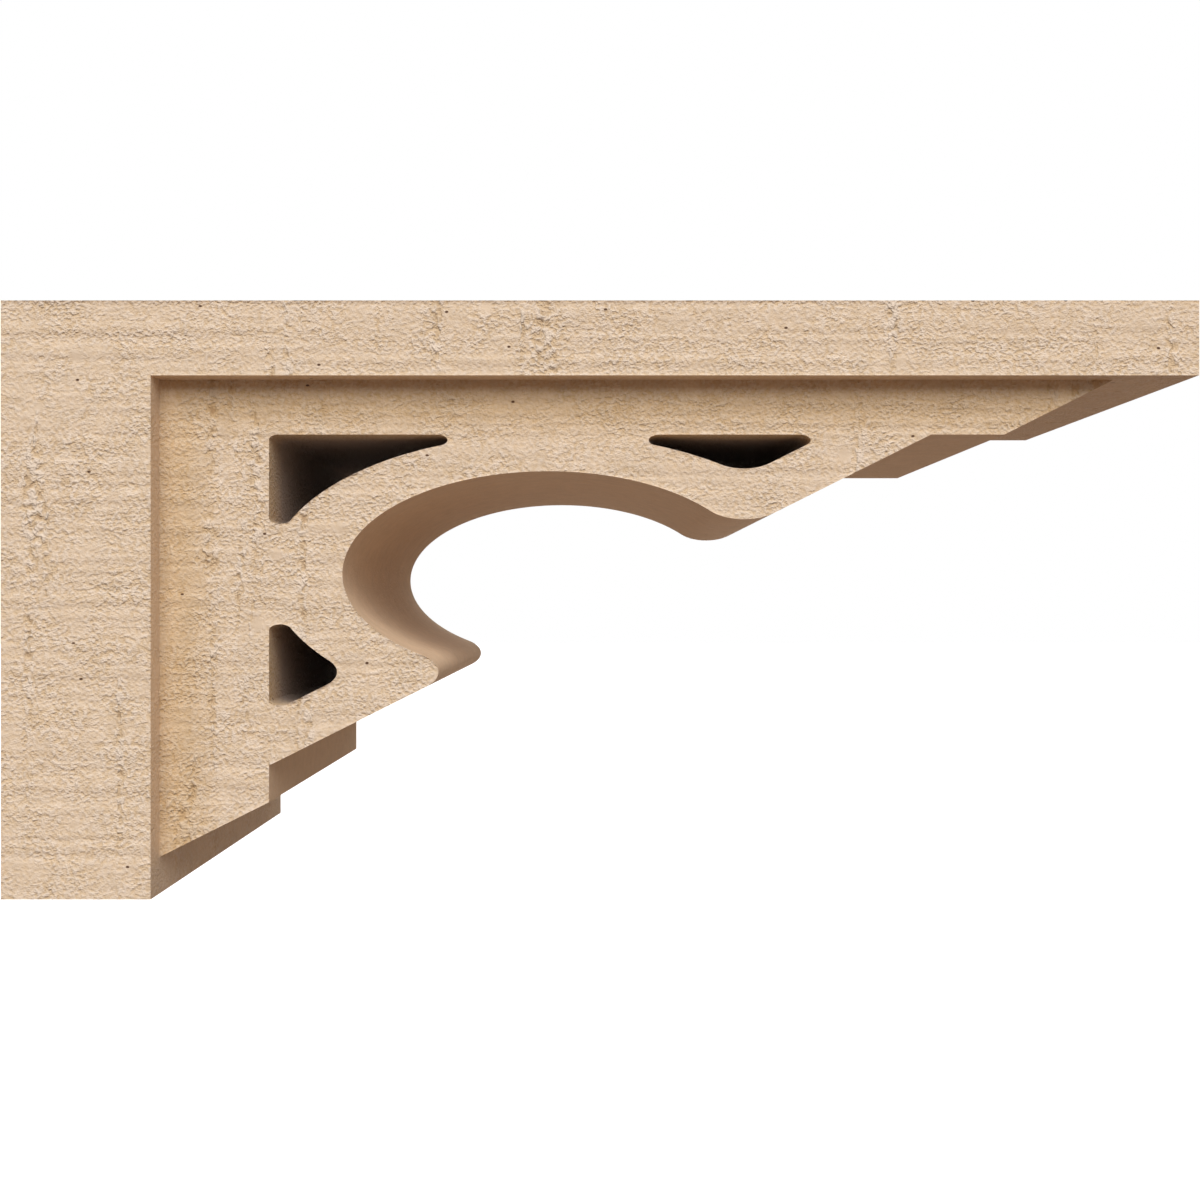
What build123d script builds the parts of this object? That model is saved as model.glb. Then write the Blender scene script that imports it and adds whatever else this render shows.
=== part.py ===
from build123d import *

import os
from math import atan2, degrees, sqrt

# A corbel moulded in one piece: a leg that goes flat on the wall, a bar that carries the load
# along the top, and a pierced brace between them.
# X runs out from the wall, Y across the width and Z up, in millimetres. The origin is the middle
# of the face that meets the wall.

# Overall size
projection = 609.6
height = 304.8
width = 254.0

# Leg and bar
leg_thickness = 76.2
bar_thickness = 38.1
brace_setback = 12.7

# The brace is drawn in a square, as deep as the corbel projects, and the drawing is then
# flattened to the corbel's height. The sizes below are those of the square drawing.
stile_width = 56.8
band_width = 38.1
nose_radius = 22.0
step_depth = 38.1

# Rounded corners of the holes, in the square drawing
corner_radius = 5.0
cusp_radius = 5.8
point_radius = 6.0
blunt_radius = 19.0

brace_width = width - 2 * brace_setback
flatten = height / projection
bar_depth_drawn = bar_thickness / flatten

# Both the holes' straight sides and the steps' risers keep this distance from wall and top.
hole_inset = leg_thickness + stile_width
# The arch is centred on the inner edge of the band that runs along the slope, and the band round
# it just meets the holes' straight sides.
arch_centre = projection / 2 - band_width / sqrt(2)
band_outer_radius = arch_centre - hole_inset
arch_radius = band_outer_radius - band_width
# How far along from its centre a hole's cusp lies, between a straight side and the band
cusp_reach = 2 * sqrt(band_outer_radius * cusp_radius)

# Directions in the drawing, where X is out from the wall and Y is down from the top
OUTWARD = Vector(1, 1).normalized()
DOWN_SLOPE = Vector(-1, 1).normalized()
ARCH = Vector(arch_centre, arch_centre)


def toward(start, end, distance):
    """The point at a distance from one point in the direction of another."""
    return start + (end - start).normalized() * distance


def swapped(point):
    """The mirror image of a point across the drawing's diagonal from wall to top."""
    return Vector(point.Y, point.X)


def on_brace(point):
    """Where a point of the square drawing lies on the brace: out from the wall, and up."""
    return (point.X, height / 2 - point.Y * flatten)


def bearing(centre, point):
    """The angle at which a point lies from a centre, in degrees anticlockwise."""
    return degrees(atan2(centre.Y - point.Y, point.X - centre.X))


def arc(centre, start, end):
    """The short way round a circle of the drawing, flattened to a part of an ellipse."""
    radius = (start - centre).length
    first = bearing(centre, start)
    turn = (bearing(centre, end) - first + 180) % 360 - 180
    return EllipticalCenterArc(on_brace(centre), radius, radius * flatten, first, arc_size=turn)


def straight(start, end):
    """A straight edge between two points of the drawing."""
    return Line(on_brace(start), on_brace(end))


def face_of(start, moves):
    """The face inside a closed outline, from moves to an end point, round a centre or straight."""
    edges = []
    here = start
    for centre, end in moves:
        edges.append(arc(centre, here, end) if centre else straight(here, end))
        here = end
    return make_face(edges)


def mirrored(start, moves):
    """The same outline on the other side of the drawing's diagonal."""
    return swapped(start), [(centre and swapped(centre), swapped(end)) for centre, end in moves]


def brace_outline():
    """The brace from its roots in leg and bar, down two stepped slopes and round the arch."""
    leg_root = leg_thickness / 2
    bar_root = bar_depth_drawn / 2
    low_end = projection + step_depth - leg_thickness
    high_end = projection + step_depth - bar_depth_drawn
    step_top = Vector(hole_inset, projection - hole_inset)
    step_foot = step_top + Vector(0, step_depth)

    nose_span = sqrt((arch_radius + nose_radius) ** 2 - (band_width - nose_radius) ** 2)
    slope_middle = Vector(projection / 2, projection / 2)
    nose = slope_middle + DOWN_SLOPE * nose_span - OUTWARD * nose_radius
    nose_on_slope = nose + OUTWARD * nose_radius
    nose_on_arch = toward(nose, ARCH, nose_radius)
    crown = ARCH - OUTWARD * arch_radius

    start = Vector(leg_root, bar_root)
    moves = [
        (None, Vector(leg_root, low_end)),
        (None, Vector(leg_thickness, low_end)),
        (None, step_foot),
        (None, step_top),
        (None, nose_on_slope),
        (nose, nose_on_arch),
        (ARCH, crown),
        (ARCH, swapped(nose_on_arch)),
        (swapped(nose), swapped(nose_on_slope)),
        (None, swapped(step_top)),
        (None, swapped(step_foot)),
        (None, Vector(high_end, bar_depth_drawn)),
        (None, Vector(high_end, bar_root)),
        (None, start),
    ]
    return start, moves


def corner_hole_outline():
    """The hole in the corner of leg and bar, whose third side follows the band round the arch."""
    corner = Vector(hole_inset + corner_radius, hole_inset + corner_radius)
    cusp = Vector(hole_inset + cusp_radius, arch_centre - cusp_reach)
    cusp_on_side = cusp - Vector(cusp_radius, 0)
    cusp_on_band = toward(cusp, ARCH, cusp_radius)
    moves = [
        (None, corner - Vector(corner_radius, 0)),
        (corner, corner - Vector(0, corner_radius)),
        (None, swapped(cusp_on_side)),
        (swapped(cusp), swapped(cusp_on_band)),
        (ARCH, cusp_on_band),
        (cusp, cusp_on_side),
    ]
    return cusp_on_side, moves


def low_hole_outline():
    """The hole beside the foot of the leg, between the band round the arch and the slope."""
    cusp = Vector(hole_inset + cusp_radius, arch_centre + cusp_reach)
    cusp_on_side = cusp - Vector(cusp_radius, 0)
    cusp_on_band = toward(cusp, ARCH, cusp_radius)

    blunt_span = sqrt((band_outer_radius + blunt_radius) ** 2 - blunt_radius ** 2)
    blunt = ARCH + DOWN_SLOPE * blunt_span - OUTWARD * blunt_radius
    blunt_on_band = toward(blunt, ARCH, blunt_radius)
    blunt_on_slope = blunt + OUTWARD * blunt_radius

    point_height = 2 * arch_centre - hole_inset - point_radius * (1 + sqrt(2))
    point = Vector(hole_inset + point_radius, point_height)
    moves = [
        (cusp, cusp_on_band),
        (ARCH, blunt_on_band),
        (blunt, blunt_on_slope),
        (None, point + OUTWARD * point_radius),
        (point, point - Vector(point_radius, 0)),
        (None, cusp_on_side),
    ]
    return cusp_on_side, moves


def make_brace():
    """The pierced brace, cut from one thickness and set back from both sides of the corbel."""
    side = face_of(*brace_outline())
    side -= face_of(*corner_hole_outline())
    side -= face_of(*low_hole_outline())
    side -= face_of(*mirrored(*low_hole_outline()))
    far_side = Plane.XZ.offset(-brace_width / 2)
    return extrude(far_side * side, amount=brace_width)


def make_leg():
    """The leg, the full height of the corbel, with its back on the wall."""
    return Pos(leg_thickness / 2, 0, 0) * Box(leg_thickness, width, height)


def make_bar():
    """The bar along the top, from the wall to the corbel's full projection."""
    middle = Pos(projection / 2, 0, (height - bar_thickness) / 2)
    return middle * Box(projection, width, bar_thickness)


corbel = make_leg() + make_bar() + make_brace()

os.makedirs("parts", exist_ok=True)
export_step(corbel, "parts/corbel.step")
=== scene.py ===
from math import atan2, pi, radians, sqrt

import bpy
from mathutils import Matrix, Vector


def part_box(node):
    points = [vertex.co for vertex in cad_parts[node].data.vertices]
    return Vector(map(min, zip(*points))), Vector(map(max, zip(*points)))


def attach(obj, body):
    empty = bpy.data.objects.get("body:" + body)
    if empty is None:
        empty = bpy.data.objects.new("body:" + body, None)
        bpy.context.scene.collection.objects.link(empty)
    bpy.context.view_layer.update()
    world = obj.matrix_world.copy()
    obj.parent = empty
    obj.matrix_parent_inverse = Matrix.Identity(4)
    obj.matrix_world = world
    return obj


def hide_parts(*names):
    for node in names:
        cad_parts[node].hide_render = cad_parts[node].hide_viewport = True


# A corbel moulded in one piece: a leg that goes flat on the wall, a bar along the top and a
# pierced brace between them. X runs out from the wall, Y across the width and Z up, in metres.

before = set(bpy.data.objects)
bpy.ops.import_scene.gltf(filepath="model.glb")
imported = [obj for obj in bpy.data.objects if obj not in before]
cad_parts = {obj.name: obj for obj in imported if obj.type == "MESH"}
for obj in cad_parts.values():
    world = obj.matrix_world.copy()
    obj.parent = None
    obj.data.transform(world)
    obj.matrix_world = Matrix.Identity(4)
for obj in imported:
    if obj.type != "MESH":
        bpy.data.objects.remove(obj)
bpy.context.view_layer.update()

MM = 0.001

# Sizes of the moulding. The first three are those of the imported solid, and the others repeat the
# named sizes that its construction has.
lowest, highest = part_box("corbel")
projection = highest.x - lowest.x
height = highest.z - lowest.z
width = highest.y - lowest.y
leg_thickness = 76.2 * MM
bar_thickness = 38.1 * MM
brace_setback = 12.7 * MM
stile_width = 56.8 * MM
band_width = 38.1 * MM
nose_radius = 22.0 * MM
step_depth = 38.1 * MM
corner_radius = 5.0 * MM
cusp_radius = 5.8 * MM
point_radius = 6.0 * MM
blunt_radius = 19.0 * MM

brace_width = width - 2 * brace_setback
bar_underside = highest.z - bar_thickness

# The brace is drawn in a square as deep as the corbel projects, and flattened to its height.
flatten = height / projection
bar_depth_drawn = bar_thickness / flatten
hole_inset = leg_thickness + stile_width
arch_centre = projection / 2 - band_width / sqrt(2)
band_outer_radius = arch_centre - hole_inset
arch_radius = band_outer_radius - band_width
cusp_reach = 2 * sqrt(band_outer_radius * cusp_radius)

# The side faces are divided so finely that the mesh carries the sawn relief. The grid's lines
# meet the inner edges of leg and bar, which are an eighth of the projection and of the height.
GRID = 240
ROWS_ACROSS = 30
ROWS_PROUD = 2
OUTLINE_STEP = 3.0 * MM
LARGEST_TURN = radians(12)

# Depth of the moulded relief in the mesh, from its crests down to its hollows
SAWN_DEPTH = 0.5 * MM

# The texture's sizes, in millimetres
MARK_SPACING = 4.4
MARK_LONG = 260.0
TORN_WIDE = 17.0
TORN_HIGH = 190.0
CHIP_SIZE = 6.5
SMALL_CHIP = 4.0
GRAIN_LONG = 1.8
GRAIN_HIGH = 1.5
PATCH_SIZE = 20.0
SPOT_SPACING = 34.0
SPOT_CORE = 2.04
SPOT_RIM = 4.42
PIT_SPACING = 85.0
PIT_FLOOR = 0.7
PIT_RIM = 1.1
STAIN_SIZE = 9.0

# The grain climbs away from the wall by this angle.
GRAIN_CLIMB = radians(13)

# Where the noise that places the torn bands turns from sound to torn
TORN_FROM = 0.56
TORN_FULL = 0.63

# How ragged a torn chip is, and how deep it goes, where saw marks go from 1 down to 0
CHIP_CURL = 0.3
CHIP_BOTTOM = -0.2

# The grain's strength in smooth spots and in its weakest and strongest patches, what is added to
# that where the timber was torn, and how far chips take its place there
SPOT_STRENGTH = 0.12
PATCH_WEAK = 0.45
PATCH_STRONG = 1.1
TORN_ROUGHER = 1.3
CHIPS_FOR_GRAIN = 0.85

# How deep the grain looks, in the finish alone, because it is finer than the mesh
GRAIN_BUMP = 0.88 * MM

# The heights of the grain from which a chip is in shade, and in full shade
CUT_TOP = 0.0
CUT_BOTTOM = -0.4

# How much of the sawn texture a face's finish has
FULLY_SAWN = 1.0
PARTLY_SAWN = 0.6
HARDLY_SAWN = 0.2

# Painted shade in the nooks, in millimetres: full up to the first distance below from the leg,
# fading out by the second. Round a line the third distance below the bar, where a painted shadow of
# the bar falls, both are the fourth shorter. In the piercings it deepens with depth down to the
# last.
NOOK_SHADE_FULL_TO = 14.0
NOOK_SHADE_GONE_FROM = 32.0
BAR_SHADOW_LINE = 12.0
LINE_NEARER = 10.0
PIERCING_SHADE_DEPTH = 28.0

# Primer colours. The crest colour holds a painted sheen, the hollow colour painted shade.
PRIMER_CREST_PAINTED_SHEEN = "#E5D2BE"
PRIMER_HOLLOW_PAINTED_SHADE = "#D6BA97"
PRIMER_SMOOTH = "#D6B592"
# Painted shade for the deepest chips
CHIP_PAINTED_SHADE = "#BE9F7D"
# Painted shade for the nooks beside leg and bar, and for the piercings' walls
NOOK_PAINTED_SHADE = "#F0E8D8"
# Painted shade for the insides of the blow holes
PIT_PAINTED_SHADE = "#5E4330"
# Painted shade deep in the piercings
PIERCING_PAINTED_SHADE = "#A39082"
WHITE = "#FFFFFF"
FLOOR_DULL = "#7F6959"

# The camera's distance from the middle of the corbel's width, and the lens that then fills the
# frame with the projection
CAMERA_DISTANCE = 750 * MM
CAMERA_LENS = 36.744
FLOOR_SIZE = 60.0
FLOOR_BELOW = 1.1


def edit_alone(piece, kind="VERT"):
    """Opens one piece in edit mode with nothing selected in it."""
    if bpy.context.mode != "OBJECT":
        bpy.ops.object.mode_set(mode="OBJECT")
    bpy.ops.object.select_all(action="DESELECT")
    bpy.context.view_layer.objects.active = piece
    piece.select_set(True)
    bpy.ops.object.mode_set(mode="EDIT")
    bpy.ops.mesh.select_mode(type=kind)
    bpy.ops.mesh.select_all(action="DESELECT")


def close_edit():
    """Leaves edit mode."""
    bpy.ops.object.mode_set(mode="OBJECT")


def select_faces(piece, wanted):
    """Selects the faces of a piece that a test passes, in edit mode."""
    edit_alone(piece, "FACE")
    close_edit()
    for face in piece.data.polygons:
        face.select = wanted(face)
    bpy.ops.object.mode_set(mode="EDIT")


def select_edges_across(piece, shortest):
    """Selects the edges that run across the corbel's width for at least this length."""
    edit_alone(piece, "EDGE")
    close_edit()
    points = piece.data.vertices
    for edge in piece.data.edges:
        start, end = (points[index].co for index in edge.vertices)
        edge.select = abs(end.y - start.y) > shortest
    bpy.ops.object.mode_set(mode="EDIT")


def divide_across(piece, shortest, rows):
    """Divides the walls that run across the width into rows."""
    select_edges_across(piece, shortest)
    bpy.ops.mesh.subdivide_edgering(number_cuts=rows - 1, smoothness=0)
    close_edit()


def drawn(out, down):
    """A point of the square drawing, out from the wall and down from the top."""
    return Vector((out, 0, -down))


OUTWARD = drawn(1, 1).normalized()
DOWN_SLOPE = drawn(-1, 1).normalized()
ARCH = drawn(arch_centre, arch_centre)


def toward(start, end, distance):
    """The point at a distance from one point in the direction of another."""
    return start + (end - start).normalized() * distance


def swapped(point):
    """The mirror image of a point across the drawing's diagonal from wall to top."""
    return Vector((-point.z, 0, -point.x))


def mirrored(start, moves):
    """The same outline on the other side of the drawing's diagonal."""
    return swapped(start), [(centre and swapped(centre), swapped(end)) for centre, end in moves]


def air_below_brace():
    """The outline of what is open below the bar and beside the leg, arch and steps included."""
    clear = 20 * MM
    low_end = projection + step_depth - leg_thickness
    high_end = projection + step_depth - bar_depth_drawn
    step_top = drawn(hole_inset, projection - hole_inset)
    step_foot = step_top + drawn(0, step_depth)

    nose_span = sqrt((arch_radius + nose_radius) ** 2 - (band_width - nose_radius) ** 2)
    slope_middle = drawn(projection / 2, projection / 2)
    nose = slope_middle + DOWN_SLOPE * nose_span - OUTWARD * nose_radius
    nose_on_slope = nose + OUTWARD * nose_radius
    nose_on_arch = toward(nose, ARCH, nose_radius)
    crown = ARCH - OUTWARD * arch_radius

    start = drawn(leg_thickness, projection + clear)
    moves = [
        (None, drawn(leg_thickness, low_end)),
        (None, step_foot),
        (None, step_top),
        (None, nose_on_slope),
        (nose, nose_on_arch),
        (ARCH, crown),
        (ARCH, swapped(nose_on_arch)),
        (swapped(nose), swapped(nose_on_slope)),
        (None, swapped(step_top)),
        (None, swapped(step_foot)),
        (None, drawn(high_end, bar_depth_drawn)),
        (None, drawn(projection + clear, bar_depth_drawn)),
        (None, drawn(projection + clear, projection + clear)),
        (None, start),
    ]
    return start, moves


def corner_hole():
    """The hole in the corner of leg and bar, whose third side follows the band round the arch."""
    corner = drawn(hole_inset + corner_radius, hole_inset + corner_radius)
    cusp = drawn(hole_inset + cusp_radius, arch_centre - cusp_reach)
    cusp_on_side = cusp - drawn(cusp_radius, 0)
    cusp_on_band = toward(cusp, ARCH, cusp_radius)
    moves = [
        (None, corner - drawn(corner_radius, 0)),
        (corner, corner - drawn(0, corner_radius)),
        (None, swapped(cusp_on_side)),
        (swapped(cusp), swapped(cusp_on_band)),
        (ARCH, cusp_on_band),
        (cusp, cusp_on_side),
    ]
    return cusp_on_side, moves


def low_hole():
    """The hole beside the foot of the leg, between the band round the arch and the slope."""
    cusp = drawn(hole_inset + cusp_radius, arch_centre + cusp_reach)
    cusp_on_side = cusp - drawn(cusp_radius, 0)
    cusp_on_band = toward(cusp, ARCH, cusp_radius)

    blunt_span = sqrt((band_outer_radius + blunt_radius) ** 2 - blunt_radius ** 2)
    blunt = ARCH + DOWN_SLOPE * blunt_span - OUTWARD * blunt_radius
    blunt_on_band = toward(blunt, ARCH, blunt_radius)
    blunt_on_slope = blunt + OUTWARD * blunt_radius

    point_height = 2 * arch_centre - hole_inset - point_radius * (1 + sqrt(2))
    point = drawn(hole_inset + point_radius, point_height)
    moves = [
        (cusp, cusp_on_band),
        (ARCH, blunt_on_band),
        (blunt, blunt_on_slope),
        (None, point + OUTWARD * point_radius),
        (point, point - drawn(point_radius, 0)),
        (None, cusp_on_side),
    ]
    return cusp_on_side, moves


def make_cutter(start, moves):
    """A prism of one outline, a row wider than the brace on both sides, to cut it with."""
    bpy.ops.object.select_all(action="DESELECT")
    bpy.ops.mesh.primitive_plane_add(size=MM, location=(0, 0, 0))
    cutter = bpy.context.object
    bpy.ops.object.mode_set(mode="EDIT")
    bpy.ops.mesh.select_mode(type="VERT")
    bpy.ops.mesh.merge(type="CENTER")
    bpy.ops.transform.translate(value=start)

    here = start
    for centre, end in moves:
        if centre:
            first = here - centre
            last = end - centre
            turn = (atan2(last.z, last.x) - atan2(first.z, first.x) + pi) % (2 * pi) - pi
            steps = max(abs(turn) * first.length / OUTLINE_STEP, abs(turn) / LARGEST_TURN)
            bpy.ops.mesh.spin(steps=round(steps) + 1, angle=turn, center=centre, axis=(0, 1, 0))
        else:
            steps = round((end - here).length / OUTLINE_STEP) + 1
            step = {"value": (end - here) / steps}
            for _ in range(steps):
                bpy.ops.mesh.extrude_region_move(TRANSFORM_OT_translate=step)
        here = end

    row = brace_width / ROWS_ACROSS
    bpy.ops.mesh.select_all(action="SELECT")
    bpy.ops.mesh.remove_doubles(threshold=0.01 * MM)
    bpy.ops.mesh.edge_face_add()
    bpy.ops.transform.resize(value=(1, 1, flatten), center_override=(0, 0, 0))
    bpy.ops.transform.translate(value=(0, -brace_width / 2 - row, highest.z))
    thicken = {"value": (0, brace_width + 2 * row, 0)}
    bpy.ops.mesh.extrude_region_move(TRANSFORM_OT_translate=thicken)
    divide_across(cutter, brace_width, ROWS_ACROSS + 2)
    edit_alone(cutter)
    bpy.ops.mesh.select_all(action="SELECT")
    bpy.ops.mesh.normals_make_consistent(inside=False)
    close_edit()
    return cutter


def cut_away(piece, cutter):
    """Takes a cutter's shape out of a piece and throws the cutter away."""
    bpy.ops.object.select_all(action="DESELECT")
    bpy.context.view_layer.objects.active = piece
    piece.select_set(True)
    cut = piece.modifiers.new("cut", "BOOLEAN")
    cut.operation = "DIFFERENCE"
    cut.solver = "MANIFOLD"
    cut.object = cutter
    bpy.ops.object.modifier_apply(modifier=cut.name)
    bpy.data.objects.remove(cutter)


def make_moulding():
    """Leg, bar and brace from one gridded sheet, as thick as the brace, with leg and bar then
    drawn out to both sides."""
    bpy.ops.object.select_all(action="DESELECT")
    bpy.ops.mesh.primitive_grid_add(
        x_subdivisions=GRID,
        y_subdivisions=GRID,
        size=1,
        location=(projection / 2, -brace_width / 2, 0),
        rotation=(pi / 2, 0, 0),
    )
    moulding = bpy.context.object
    moulding.name = "corbel_moulding"
    bpy.ops.object.transform_apply(location=True, rotation=True, scale=True)
    edit_alone(moulding)
    bpy.ops.mesh.select_all(action="SELECT")
    bpy.ops.transform.resize(value=(projection, 1, height))
    thicken = {"value": (0, brace_width, 0)}
    bpy.ops.mesh.extrude_region_move(TRANSFORM_OT_translate=thicken)
    divide_across(moulding, brace_width / 2, ROWS_ACROSS)
    edit_alone(moulding)
    bpy.ops.mesh.select_all(action="SELECT")
    bpy.ops.mesh.normals_make_consistent(inside=False)
    close_edit()

    for outline in (air_below_brace(), corner_hole(), low_hole(), mirrored(*low_hole())):
        cut_away(moulding, make_cutter(*outline))

    for side in (-1, 1):
        select_faces(
            moulding,
            lambda face: face.normal.y * side > 0.9
            and (face.center.x < leg_thickness or face.center.z > bar_underside),
        )
        outward = {"value": (0, side * brace_setback, 0)}
        bpy.ops.mesh.extrude_region_move(TRANSFORM_OT_translate=outward)
        close_edit()
    divide_across(moulding, brace_setback * 0.9, ROWS_PROUD)

    # Points that the cuts left almost on one another become one. The modifier puts it midway, where
    # the operator would keep a different point of the two from one run to the next.
    doubles = moulding.modifiers.new("merge doubles", "WELD")
    doubles.merge_threshold = 0.05 * MM
    bpy.ops.object.modifier_apply(modifier=doubles.name)

    edit_alone(moulding, "EDGE")
    bpy.ops.mesh.edges_select_sharp(sharpness=radians(20))
    bpy.ops.mesh.mark_sharp()
    close_edit()
    bpy.ops.object.shade_smooth()
    return moulding


def linear(colour):
    """An sRGB hex colour as the linear RGBA that Blender's nodes take."""
    channels = [int(colour[place:place + 2], 16) / 255 for place in (1, 3, 5)]
    return [c / 12.92 if c <= 0.04045 else ((c + 0.055) / 1.055) ** 2.4 for c in channels] + [1]


def add_node(tree, kind, settings=None, **inputs):
    """Adds a node with its settings, and sets or joins its inputs. An input is named as on the
    node, with _ for a space, or in_ and its number. Returns the node."""
    node = tree.nodes.new(kind)
    for name, value in (settings or {}).items():
        setattr(node, name, value)
    for name, value in inputs.items():
        key = int(name[3:]) if name.startswith("in_") else name.replace("_", " ")
        socket = node.inputs[key]
        if isinstance(value, bpy.types.Node):
            value = value.outputs[0]
        if isinstance(value, bpy.types.NodeSocket):
            tree.links.new(value, socket)
        else:
            socket.default_value = value
    return node


MATH = "ShaderNodeMath"
VECTOR = "ShaderNodeVectorMath"
NOISE = "ShaderNodeTexNoise"
RANGE = "ShaderNodeMapRange"
MIX = "ShaderNodeMix"


def add_torn_bands(tree, place):
    """Upright bands, about a finger wide, in which the timber was torn: 1 in them, 0 outside."""
    band_place = add_node(
        tree, VECTOR, {"operation": "DIVIDE"}, in_0=place, in_1=(TORN_WIDE, TORN_WIDE, TORN_HIGH)
    )
    bands = add_node(
        tree, NOISE, Vector=band_place, Scale=1.0, Detail=5.0, Roughness=0.6, Distortion=0.3
    )
    return add_node(tree, RANGE, Value=bands, From_Min=TORN_FROM, From_Max=TORN_FULL)


def add_chips(tree, place, size):
    """Torn-out chips of one size: 0 in the deepest and 1 between them."""
    chips = add_node(
        tree, NOISE, Vector=place, Scale=1 / size, Detail=2.0, Roughness=0.6, Distortion=CHIP_CURL
    )
    return add_node(tree, RANGE, Value=chips, From_Min=0.3, From_Max=0.7)


def add_coarse_relief(tree, place, lying):
    """The coarse part of the moulded relief, from about 0 in the hollows to 1 on the crests: level
    saw marks as long as a stroke, and in the torn bands chips that go deeper.

    The place is in millimetres. Lying is 1 on level faces, where the saw marks run across the
    width, twice as far apart, and 0 on upright ones, where they run level.
    """
    parts = add_node(tree, "ShaderNodeSeparateXYZ", Vector=place)
    half_out = add_node(tree, MATH, {"operation": "MULTIPLY"}, in_0=parts.outputs["X"], in_1=0.5)
    rise = add_node(tree, MIX, Factor=lying, in_2=parts.outputs["Z"], in_3=half_out)
    along = add_node(tree, VECTOR, {"operation": "SCALE"}, in_0=place, Scale=1 / MARK_LONG)
    lift = add_node(tree, MATH, {"operation": "DIVIDE"}, in_0=rise, in_1=MARK_SPACING)
    up = add_node(tree, "ShaderNodeCombineXYZ", Z=lift)
    mark_place = add_node(tree, VECTOR, {"operation": "ADD"}, in_0=along, in_1=up)
    marks = add_node(tree, NOISE, Vector=mark_place, Scale=1.0, Detail=1.0, Roughness=0.5)
    sawn = add_node(
        tree, RANGE, {"interpolation_type": "SMOOTHSTEP"},
        Value=marks, From_Min=0.36, From_Max=0.64,
    )

    torn = add_torn_bands(tree, place)
    chips = add_chips(tree, place, CHIP_SIZE)
    deeper = add_node(tree, RANGE, {"clamp": False}, Value=chips, To_Min=CHIP_BOTTOM, To_Max=1.0)
    return add_node(tree, MIX, Factor=torn, in_2=sawn, in_3=deeper)


def add_grain(tree, place):
    """The fine part of the relief: lumps and hollows that climb slightly, away from the wall.

    Sawn fibres are finer still. They are drawn as coarse as they need to be to show.
    """
    climb = add_node(
        tree, "ShaderNodeVectorRotate", {"rotation_type": "Y_AXIS"},
        Vector=place, Angle=GRAIN_CLIMB,
    )
    cells = add_node(
        tree, VECTOR, {"operation": "DIVIDE"},
        in_0=climb, in_1=(GRAIN_LONG, GRAIN_LONG, GRAIN_HIGH),
    )
    lumps = add_node(tree, NOISE, Vector=cells, Scale=1.0, Detail=1.0, Roughness=0.5)
    grain = add_node(tree, RANGE, Value=lumps, From_Min=0.22, From_Max=0.78)

    # In the torn bands it gives way to chips.
    torn = add_torn_bands(tree, place)
    chips = add_chips(tree, place, SMALL_CHIP)
    give_way = add_node(tree, MATH, {"operation": "MULTIPLY"}, in_0=torn, in_1=CHIPS_FOR_GRAIN)
    torn_grain = add_node(tree, MIX, Factor=give_way, in_2=grain, in_3=chips)

    # It is weak in some patches, and missing in small smooth spots.
    patch_place = add_node(
        tree, VECTOR, {"operation": "DIVIDE"},
        in_0=place, in_1=(PATCH_SIZE, PATCH_SIZE, PATCH_SIZE * 0.6),
    )
    patches = add_node(tree, NOISE, Vector=patch_place, Scale=1.0, Detail=1.0, Roughness=0.5)
    patchy = add_node(
        tree, RANGE, Value=patches,
        From_Min=0.3, From_Max=0.7, To_Min=PATCH_WEAK, To_Max=PATCH_STRONG,
    )
    strength = add_node(
        tree, MATH, {"operation": "MULTIPLY_ADD"}, in_0=torn, in_1=TORN_ROUGHER, in_2=patchy
    )
    spots = add_node(
        tree, "ShaderNodeTexVoronoi", Vector=place, Scale=1 / SPOT_SPACING, Randomness=1.0
    )
    spot_edge = add_node(
        tree, RANGE, Value=spots.outputs["Distance"],
        From_Min=SPOT_CORE / SPOT_SPACING, From_Max=SPOT_RIM / SPOT_SPACING,
        To_Min=SPOT_STRENGTH, To_Max=1.0,
    )
    weight = add_node(tree, MATH, {"operation": "MULTIPLY"}, in_0=strength, in_1=spot_edge)
    centred = add_node(tree, MATH, {"operation": "SUBTRACT"}, in_0=torn_grain, in_1=0.5)
    return add_node(tree, MATH, {"operation": "MULTIPLY_ADD"}, in_0=centred, in_1=weight, in_2=0.5)


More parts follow.
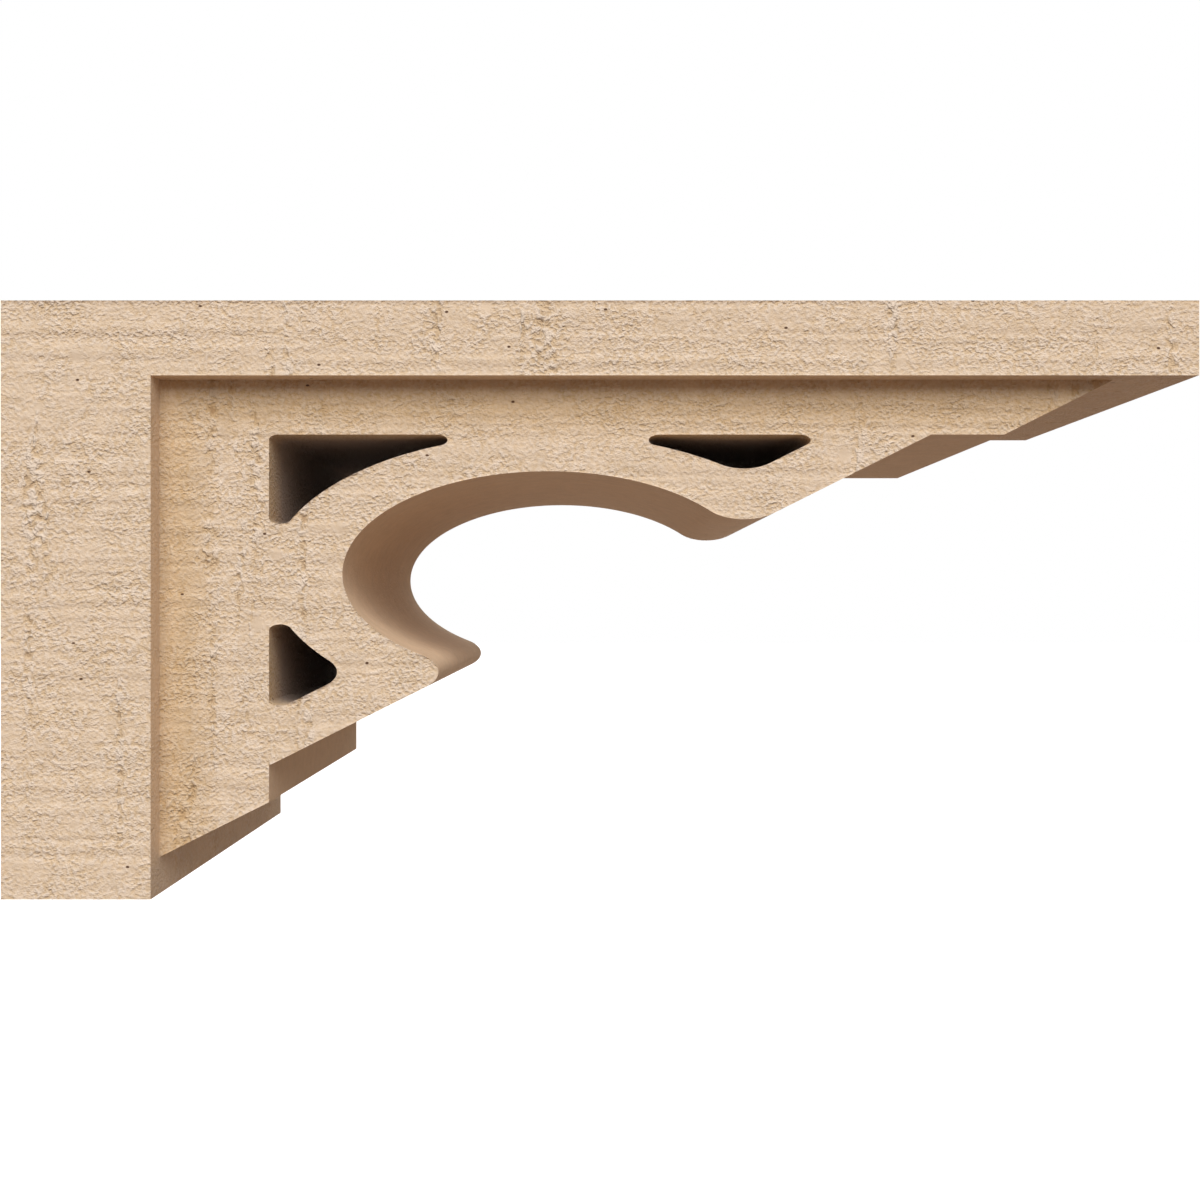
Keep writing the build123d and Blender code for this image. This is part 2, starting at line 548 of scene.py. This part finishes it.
def press_relief(moulding):
    """Presses the sawn relief into the outer faces, from their planes inwards."""
    tree = bpy.data.node_groups.new("sawn relief", "GeometryNodeTree")
    tree.interface.new_socket("Geometry", in_out="INPUT", socket_type="NodeSocketGeometry")
    tree.interface.new_socket("Geometry", in_out="OUTPUT", socket_type="NodeSocketGeometry")
    given = add_node(tree, "NodeGroupInput")
    position = add_node(tree, "GeometryNodeInputPosition")
    place = add_node(tree, VECTOR, {"operation": "SCALE"}, in_0=position, Scale=1 / MM)
    normal = add_node(tree, "GeometryNodeInputNormal")
    parts = add_node(tree, "ShaderNodeSeparateXYZ", Vector=normal)
    upward = add_node(tree, MATH, {"operation": "ABSOLUTE"}, in_0=parts.outputs["Z"])
    lying = add_node(tree, MATH, {"operation": "GREATER_THAN"}, in_0=upward, in_1=0.7)
    coarse = add_coarse_relief(tree, place, lying)
    hollow = add_node(tree, MATH, {"operation": "SUBTRACT"}, in_0=coarse, in_1=1.0)
    weight = add_node(
        tree, "GeometryNodeInputNamedAttribute", {"data_type": "FLOAT"}, Name="relief"
    )
    depth = add_node(tree, MATH, {"operation": "MULTIPLY"}, in_0=hollow, in_1=weight)
    offset = add_node(tree, VECTOR, {"operation": "SCALE"}, in_0=normal, Scale=depth)
    moved = add_node(tree, "GeometryNodeSetPosition", Geometry=given, Offset=offset)
    add_node(tree, "NodeGroupOutput", Geometry=moved)

    relief = moulding.modifiers.new("sawn relief", "NODES")
    relief.node_group = tree
    bpy.context.view_layer.objects.active = moulding
    bpy.ops.object.modifier_apply(modifier=relief.name)


def weigh_faces(moulding):
    """Says how deep each point's relief is, how rough each face's finish is, and which faces are
    the brace's own sides and the walls of its piercings."""
    mesh = moulding.data
    sawn = mesh.attributes.new("sawn", "FLOAT", "FACE")
    set_back = mesh.attributes.new("set_back", "FLOAT", "FACE")
    pierced = mesh.attributes.new("pierced", "FLOAT", "FACE")
    relief = mesh.attributes.new("relief", "FLOAT", "POINT")
    # The slope on which the two outer piercings end, where out and down add up to this
    slope_end = 2 * arch_centre + MM
    depth = [SAWN_DEPTH] * len(mesh.vertices)
    for face in mesh.polygons:
        side = abs(face.normal.y) > 0.9
        end = face.normal.x > 0.9 and face.center.x > projection - MM
        top = face.normal.z > 0.9 and face.center.z > highest.z - MM
        rough = side or end or top
        inner = face.normal.x > 0.9 and face.center.x < leg_thickness + MM
        under = face.normal.z < -0.9 and face.center.z > bar_underside - MM
        recessed = side and abs(face.center.y) < brace_width / 2 + MM
        set_back.data[face.index].value = 1.0 if recessed else 0.0
        out, down = face.center.x, (highest.z - face.center.z) / flatten
        across_band = (drawn(out, down) - ARCH).length > band_outer_radius - MM
        inside = hole_inset - MM < out < slope_end - down and down > hole_inset - MM
        hole_wall = inside and across_band and not side
        pierced.data[face.index].value = 1.0 if hole_wall else 0.0
        partly = inner or under
        if rough or hole_wall:
            sawn.data[face.index].value = FULLY_SAWN
        else:
            sawn.data[face.index].value = PARTLY_SAWN if partly else HARDLY_SAWN
        if not rough:
            for index in face.vertices:
                depth[index] = 0.0
    for edge in mesh.edges:
        if edge.use_edge_sharp:
            for index in edge.vertices:
                depth[index] = 0.0
    relief.data.foreach_set("value", depth)


def primed_polyurethane():
    """Rigid polyurethane foam, cast in a mould taken from rough-sawn timber and factory primed.

    The mould leaves the saw marks and raised grain as soft-edged wrinkles, and the thick primer
    makes it one dull, even tan, with hardly any gloss.
    """
    material = bpy.data.materials.new("primed_polyurethane_sawn")
    material.use_nodes = True
    tree = material.node_tree
    tree.nodes.clear()
    place_m = add_node(tree, "ShaderNodeTexCoord").outputs["Object"]
    place = add_node(tree, VECTOR, {"operation": "SCALE"}, in_0=place_m, Scale=1 / MM)
    grain = add_grain(tree, place)
    sawn = add_node(tree, "ShaderNodeAttribute", {"attribute_name": "sawn"}).outputs["Fac"]

    # The primer's tan carries painted light: paler on the crests as a painted sheen, and darker and
    # more ochre in the hollows as painted shade.
    heights = add_node(tree, RANGE, Value=grain, From_Min=0.2, From_Max=0.8)
    grain_sheen_and_shade_colour = add_node(
        tree, MIX, {"data_type": "RGBA"},
        Factor=heights, in_6=linear(PRIMER_HOLLOW_PAINTED_SHADE), in_7=linear(PRIMER_CREST_PAINTED_SHEEN),
    )
    colour = grain_sheen_and_shade_colour.outputs[2]

    # The deepest chips get painted shade, which bump alone does not give them.
    shade = add_node(
        tree, RANGE, Value=grain, From_Min=CUT_BOTTOM, From_Max=CUT_TOP, To_Min=1.0, To_Max=0.0
    )
    shaded_colour = add_node(
        tree, MIX, {"data_type": "RGBA"}, Factor=shade, in_6=colour, in_7=linear(CHIP_PAINTED_SHADE)
    )
    colour = shaded_colour.outputs[2]

    # On the smooth faces it is a little warmer, with faint blotches.
    smooth_colour = add_node(
        tree, MIX, {"data_type": "RGBA"},
        Factor=sawn, in_6=linear(PRIMER_SMOOTH), in_7=colour,
    )
    stains = add_node(
        tree, NOISE, Vector=place, Scale=1 / STAIN_SIZE, Detail=4.0, Roughness=0.65
    )
    stain_tone = add_node(
        tree, RANGE, Value=stains, From_Min=0.3, From_Max=0.7, To_Min=0.93, To_Max=1.05
    )
    stained = add_node(
        tree, VECTOR, {"operation": "SCALE"}, in_0=smooth_colour.outputs[2], Scale=stain_tone
    )
    colour = stained.outputs[0]

    # Small blow holes from the casting break the sawn faces here and there. They are drawn only in
    # colour, as dark spots of painted shade where their insides lie in shade.
    stand = add_node(tree, "ShaderNodeSeparateXYZ", Vector=place)
    pit_along = add_node(
        tree, MATH, {"operation": "MULTIPLY_ADD"},
        in_0=stand.outputs["Y"], in_1=0.7, in_2=stand.outputs["X"],
    )
    pit_up = add_node(
        tree, MATH, {"operation": "MULTIPLY_ADD"},
        in_0=stand.outputs["Z"], in_1=1.5, in_2=stand.outputs["Y"],
    )
    pit_place = add_node(tree, "ShaderNodeCombineXYZ", X=pit_along, Y=pit_up)
    pits = add_node(
        tree, "ShaderNodeTexVoronoi", {"voronoi_dimensions": "2D"},
        Vector=pit_place, Scale=1 / PIT_SPACING, Randomness=1.0,
    )
    pit = add_node(
        tree, RANGE, Value=pits.outputs["Distance"],
        From_Min=PIT_FLOOR / PIT_SPACING, From_Max=PIT_RIM / PIT_SPACING, To_Min=1.0, To_Max=0.0,
    )
    open_pit = add_node(tree, MATH, {"operation": "MULTIPLY"}, in_0=pit, in_1=sawn)
    pit_shaded_colour = add_node(
        tree, MIX, {"data_type": "RGBA"}, Factor=open_pit, in_6=colour, in_7=linear(PIT_PAINTED_SHADE)
    )
    colour = pit_shaded_colour.outputs[2]

    # Painted shade where the brace's sides run into leg and bar, most of all beside the leg and in
    # a band of painted shadow a centimetre below the bar, and on the walls of the piercings.
    from_leg = add_node(
        tree, MATH, {"operation": "SUBTRACT"}, in_0=stand.outputs["X"], in_1=leg_thickness / MM
    )
    from_bar = add_node(
        tree, MATH, {"operation": "SUBTRACT"}, in_0=bar_underside / MM, in_1=stand.outputs["Z"]
    )
    below = add_node(tree, MATH, {"operation": "SUBTRACT"}, in_0=from_bar, in_1=BAR_SHADOW_LINE)
    off_line = add_node(tree, MATH, {"operation": "ABSOLUTE"}, in_0=below)
    from_line = add_node(tree, MATH, {"operation": "ADD"}, in_0=off_line, in_1=LINE_NEARER)
    nearest = add_node(tree, MATH, {"operation": "MINIMUM"}, in_0=from_leg, in_1=from_line)
    close = add_node(
        tree, RANGE, Value=nearest, From_Min=NOOK_SHADE_FULL_TO, From_Max=NOOK_SHADE_GONE_FROM, To_Min=1.0, To_Max=0.0
    )
    set_back = add_node(tree, "ShaderNodeAttribute", {"attribute_name": "set_back"})
    beside = add_node(
        tree, MATH, {"operation": "MULTIPLY"}, in_0=close, in_1=set_back.outputs["Fac"]
    )
    pierced = add_node(tree, "ShaderNodeAttribute", {"attribute_name": "pierced"})
    nook_shade = add_node(
        tree, MATH, {"operation": "MAXIMUM"}, in_0=beside, in_1=pierced.outputs["Fac"]
    )
    nook_shaded_colour = add_node(
        tree, MIX, {"data_type": "RGBA", "blend_type": "MULTIPLY"},
        Factor=nook_shade, in_6=colour, in_7=linear(NOOK_PAINTED_SHADE),
    )
    colour = nook_shaded_colour.outputs[2]

    # Deeper in the piercings the painted shade darkens towards a grey brown.
    across = add_node(tree, MATH, {"operation": "ABSOLUTE"}, in_0=stand.outputs["Y"])
    depth_in = add_node(
        tree, MATH, {"operation": "SUBTRACT"}, in_0=brace_width / 2 / MM, in_1=across
    )
    deeper_shade = add_node(
        tree, RANGE, Value=depth_in, From_Min=0.0, From_Max=PIERCING_SHADE_DEPTH, To_Min=0.0, To_Max=1.0
    )
    piercing_shade = add_node(
        tree, MATH, {"operation": "MULTIPLY"}, in_0=deeper_shade, in_1=pierced.outputs["Fac"]
    )
    piercing_shaded_colour = add_node(
        tree, MIX, {"data_type": "RGBA"}, Factor=piercing_shade, in_6=colour, in_7=linear(PIERCING_PAINTED_SHADE)
    )
    colour = piercing_shaded_colour.outputs[2]

    bump = add_node(tree, "ShaderNodeBump", Strength=sawn, Distance=GRAIN_BUMP, Height=grain)
    shader = add_node(
        tree, "ShaderNodeBsdfPrincipled",
        Base_Color=colour, Roughness=0.95, IOR=1.45, Normal=bump,
    )
    add_node(tree, "ShaderNodeOutputMaterial", Surface=shader)
    return material


def add_lamp(name, strength, spread, azimuth, elevation):
    """A soft light from far off: a sun lamp as wide as a large diffuser, seen from the corbel.

    Azimuth 0 is the camera's side, and 90 the bar's end.
    """
    lamp = bpy.data.lights.new(name, "SUN")
    lamp.energy = strength
    lamp.angle = radians(spread)
    holder = bpy.data.objects.new(name, lamp)
    holder.rotation_euler = (radians(90 - elevation), 0, radians(azimuth))
    holder.visible_camera = False
    bpy.context.scene.collection.objects.link(holder)


def make_floor():
    """A pale floor well below the corbel: white to the camera, and dull warm light from below."""
    bpy.ops.object.select_all(action="DESELECT")
    bpy.ops.mesh.primitive_plane_add(size=FLOOR_SIZE, location=(0, 0, -FLOOR_BELOW))
    floor = bpy.context.object
    floor.name = "floor"
    material = bpy.data.materials.new("pale_floor")
    material.use_nodes = True
    tree = material.node_tree
    tree.nodes.clear()
    path = add_node(tree, "ShaderNodeLightPath")
    seen = add_node(
        tree, MATH, {"operation": "MAXIMUM"},
        in_0=path.outputs["Is Camera Ray"], in_1=path.outputs["Is Glossy Ray"],
    )
    seen_through = add_node(
        tree, MATH, {"operation": "MAXIMUM"}, in_0=seen, in_1=path.outputs["Is Transmission Ray"]
    )
    white = add_node(tree, "ShaderNodeBsdfDiffuse", Color=linear(WHITE))
    glow = add_node(tree, "ShaderNodeEmission", Color=linear(WHITE), Strength=0.45)
    lit = add_node(tree, "ShaderNodeAddShader", in_0=white, in_1=glow)
    dull = add_node(tree, "ShaderNodeBsdfDiffuse", Color=linear(FLOOR_DULL))
    mixed = add_node(tree, "ShaderNodeMixShader", Fac=seen_through, in_1=dull, in_2=lit)
    add_node(tree, "ShaderNodeOutputMaterial", Surface=mixed)
    floor.data.materials.append(material)


def make_world():
    """White behind everything, and a dim light from all round."""
    world = bpy.data.worlds.new("studio")
    bpy.context.scene.world = world
    world.use_nodes = True
    tree = world.node_tree
    tree.nodes.clear()
    path = add_node(tree, "ShaderNodeLightPath")
    seen = add_node(
        tree, MATH, {"operation": "MAXIMUM"},
        in_0=path.outputs["Is Camera Ray"], in_1=path.outputs["Is Glossy Ray"],
    )
    seen_through = add_node(
        tree, MATH, {"operation": "MAXIMUM"}, in_0=seen, in_1=path.outputs["Is Transmission Ray"]
    )
    strength = add_node(tree, RANGE, Value=seen_through, To_Min=0.1, To_Max=1.0)
    light = add_node(tree, "ShaderNodeBackground", Color=linear(WHITE), Strength=strength)
    add_node(tree, "ShaderNodeOutputWorld", Surface=light)


def make_camera():
    """A one-point view: square on to the side of the corbel and level with its middle."""
    camera = bpy.data.cameras.new("camera")
    camera.lens = CAMERA_LENS
    camera.sensor_width = 36
    camera.clip_start = 0.01
    holder = bpy.data.objects.new("camera", camera)
    holder.location = (projection / 2, -CAMERA_DISTANCE, 0)
    holder.rotation_euler = (pi / 2, 0, 0)
    bpy.context.scene.collection.objects.link(holder)
    bpy.context.scene.camera = holder


make_camera()
make_world()
make_floor()
add_lamp("key", 2.85, 52, 3, 41)
add_lamp("front fill", 0.58, 130, 0, 3)
add_lamp("side fill", 0.32, 70, 62, 22)
add_lamp("back fill", 1.0, 90, 180, 50)

corbel = make_moulding()
weigh_faces(corbel)
press_relief(corbel)
corbel.data.materials.clear()
corbel.data.materials.append(primed_polyurethane())
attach(corbel, "root")
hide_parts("corbel")

bpy.context.scene.view_settings.view_transform = "Standard"
